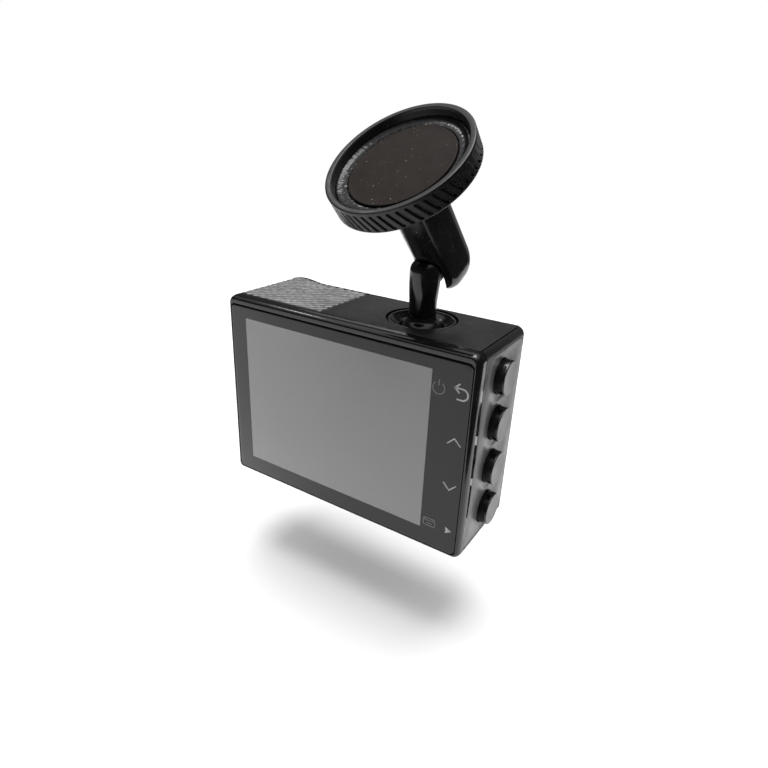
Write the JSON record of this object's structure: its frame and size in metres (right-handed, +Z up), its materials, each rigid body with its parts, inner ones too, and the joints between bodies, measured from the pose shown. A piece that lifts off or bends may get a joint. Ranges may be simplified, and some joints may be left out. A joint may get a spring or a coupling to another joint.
{
  "type": "dash camera",
  "caption": "Car dash camera with a large rear screen, round side buttons and a ball-jointed stem whose hinged arm carries a twist-lock gel suction mount",
  "frame": {"origin": "centre of the flat bottom face of the camera case", "axes": "+Z up through the case towards the mount; -Y is the screen side and +Y the lens side; +X is the button side"},
  "size_m": [0.0822, 0.0447, 0.11],
  "materials": {
    "gloss_black": "polished moulded black plastic",
    "satin_black": "fine satin black plastic",
    "matt_black": "matt dark grey to black plastic with a fine grain",
    "dark_glass": "smoked glossy cover glass",
    "display": "grey liquid crystal panel, switched off",
    "ribbed_silver": "silver-grey moulded plastic with fine wavy ribs",
    "satin_grey": "dark grey satin plastic",
    "steel": "bright nickel-plated steel",
    "brass": "plain machined brass",
    "board_green": "green solder mask on glass-fibre board",
    "lens_glass": "coated optical glass",
    "white_ceramic": "unglazed white ceramic",
    "white_plastic": "natural white acetal",
    "cell_blue": "blue sleeve film",
    "rubber": "soft black rubber",
    "gel_brown": "sticky translucent brown-black gel, dusty"
  },
  "bodies": {
    "housing": {"front_frame": "gloss_black", "screen_glass": "dark_glass", "lcd_module": "display", "lcd_tray": "steel", "rear_shell": "satin_black", "top_plate": "matt_black", "pod_cover": "ribbed_silver", "side_panel": "satin_grey", "case_screw_1": "steel", "case_screw_2": "steel", "case_screw_3": "steel", "case_screw_4": "steel", "lens_barrel": "satin_black", "lens_front": "lens_glass", "lens_rear": "lens_glass", "lens_ring": "steel", "lens_holder": "matt_black", "sensor_board": "board_green", "image_sensor": "dark_glass", "main_board": "board_green", "board_screw_1": "steel", "board_screw_2": "steel", "board_screw_3": "steel", "processor_shield": "steel", "microphone": "brass", "battery": "cell_blue", "speaker": "satin_black", "antenna": "white_ceramic", "usb_socket": "steel", "card_socket": "steel", "key_board": "board_green", "switch_1": "steel", "switch_2": "steel", "switch_3": "steel", "switch_4": "steel", "socket_cup": "satin_black", "socket_ring": "gloss_black", "pressure_pad": "white_plastic"},
    "swivel": {"socket_liner": "matt_black"},
    "stem": {"ball_stem": "gloss_black"},
    "arm": {"arm_block": "gloss_black", "pivot_screw": "steel", "pivot_washer_left": "brass", "pivot_washer_right": "brass", "base_disc": "satin_black", "suction_dish": "rubber"},
    "ring": {"knurled_ring": "satin_black"},
    "core": {"suction_core": "matt_black", "gel_pad": "gel_brown"},
    "button_1": {"button_1": "satin_grey"},
    "button_2": {"button_2": "satin_grey"},
    "button_3": {"button_3": "satin_grey"},
    "button_4": {"button_4": "satin_grey"},
    "card": {"memory_card": "matt_black"}
  },
  "joints": [
    {"name": "stem_swivel", "type": "hinge", "parent": "housing", "child": "swivel", "pos_m": [0.0152, 0.0024, 0.0532], "axis": [0, 0, 1], "continuous": true},
    {"name": "stem_lean", "type": "hinge", "parent": "swivel", "child": "stem", "pos_m": [0.0152, 0.0024, 0.0532], "axis": [1, 0, 0], "range_deg": [-12, 12]},
    {"name": "arm_tilt", "type": "hinge", "parent": "stem", "child": "arm", "pos_m": [0.01657, 0.01044, 0.07213], "axis": [0.9857, -0.1685, 0], "range_deg": [-25, 0]},
    {"name": "ring_twist", "type": "hinge", "parent": "arm", "child": "ring", "pos_m": [0.01299, -0.01054, 0.09851], "axis": [-0.1058, -0.619, 0.7782], "range_deg": [0, 90]},
    {"name": "pad_slide", "type": "slide", "parent": "arm", "child": "core", "axis": [-0.1058, -0.619, 0.7782], "range_m": [0, 0.002]},
    {"name": "button_1_press", "type": "slide", "parent": "housing", "child": "button_1", "axis": [-1, 0, 0], "range_m": [0, 0.00045], "stiffness_N_per_m": 80},
    {"name": "button_2_press", "type": "slide", "parent": "housing", "child": "button_2", "axis": [-1, 0, 0], "range_m": [0, 0.00045], "stiffness_N_per_m": 80},
    {"name": "button_3_press", "type": "slide", "parent": "housing", "child": "button_3", "axis": [-1, 0, 0], "range_m": [0, 0.00045], "stiffness_N_per_m": 80},
    {"name": "button_4_press", "type": "slide", "parent": "housing", "child": "button_4", "axis": [-1, 0, 0], "range_m": [0, 0.00045], "stiffness_N_per_m": 80},
    {"name": "card_slide", "type": "slide", "parent": "housing", "child": "card", "axis": [-1, 0, 0], "range_m": [0, 0.01]}
  ],
  "couplings": [
    {"joint": "ring_twist", "follows": "pad_slide", "rad_per_m": 785.3}
  ]
}
